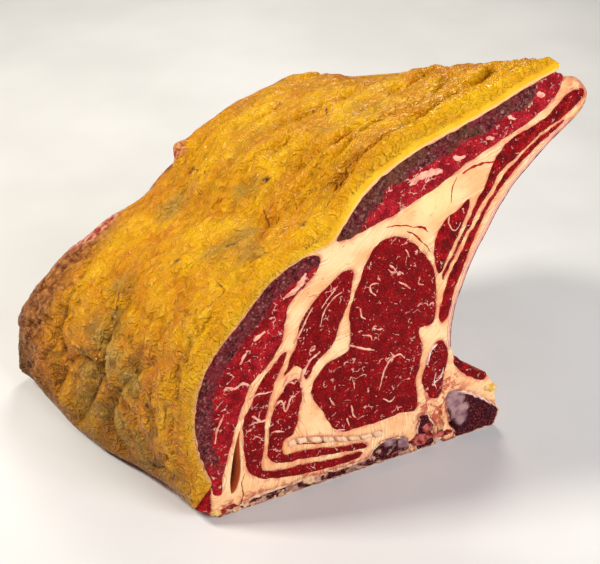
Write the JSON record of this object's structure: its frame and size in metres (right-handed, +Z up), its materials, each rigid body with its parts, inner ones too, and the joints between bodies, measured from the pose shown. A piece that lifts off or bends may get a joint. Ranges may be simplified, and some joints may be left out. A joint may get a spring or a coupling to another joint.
{
  "type": "bone-in beef rib roast",
  "caption": "Dry-aged bone-in beef rib roast with a thick yellow fat cap, a marbled cut face and rib bones along a curved chest side, standing on its sawn spine side.",
  "frame": {"origin": "centre of the bounding box on the ground, which is on the flat sawn underside", "axes": "+X across the near cut face towards the rib tips' side, +Y from the near cut face into the roast along the spine, +Z up from the sawn underside"},
  "size_m": [0.321, 0.21, 0.2641],
  "materials": {
    "cap_fat": "aged yellow fat, wrinkled, with a slight oily gloss",
    "seam_fat": "cut cream fat and sinew, smooth and slightly moist",
    "lean_meat": "fresh cut raw beef, moist, finely marbled",
    "aged_meat": "raw beef that has dried brown along its outer edge",
    "ligament": "pale smooth sinew",
    "rib_bone": "bone under a thin dried membrane",
    "spine_bone": "sawn spongy bone with a pale rim"
  },
  "bodies": {
    "root": {"fat_cap": "cap_fat", "seam_fat": "seam_fat", "foot_muscle": "lean_meat", "blade_muscle": "aged_meat", "back_muscle": "aged_meat", "eye_muscle": "lean_meat", "cap_muscle_upper": "lean_meat", "cap_muscle_outer": "lean_meat", "cap_muscle_inner": "lean_meat", "rib_muscle_inner": "lean_meat", "rib_muscle_middle": "lean_meat", "rib_muscle_outer": "lean_meat", "chine_muscle": "lean_meat", "strap_muscle": "lean_meat", "ligament": "ligament", "rib_1": "rib_bone", "chine_bone_1": "spine_bone", "arch_bone_1": "spine_bone", "feather_bone_1": "spine_bone", "rib_2": "rib_bone", "chine_bone_2": "spine_bone", "arch_bone_2": "spine_bone", "feather_bone_2": "spine_bone", "rib_3": "rib_bone", "chine_bone_3": "spine_bone", "arch_bone_3": "spine_bone", "feather_bone_3": "spine_bone", "rib_4": "rib_bone", "chine_bone_4": "spine_bone", "arch_bone_4": "spine_bone", "feather_bone_4": "spine_bone"}
  },
  "joints": []
}
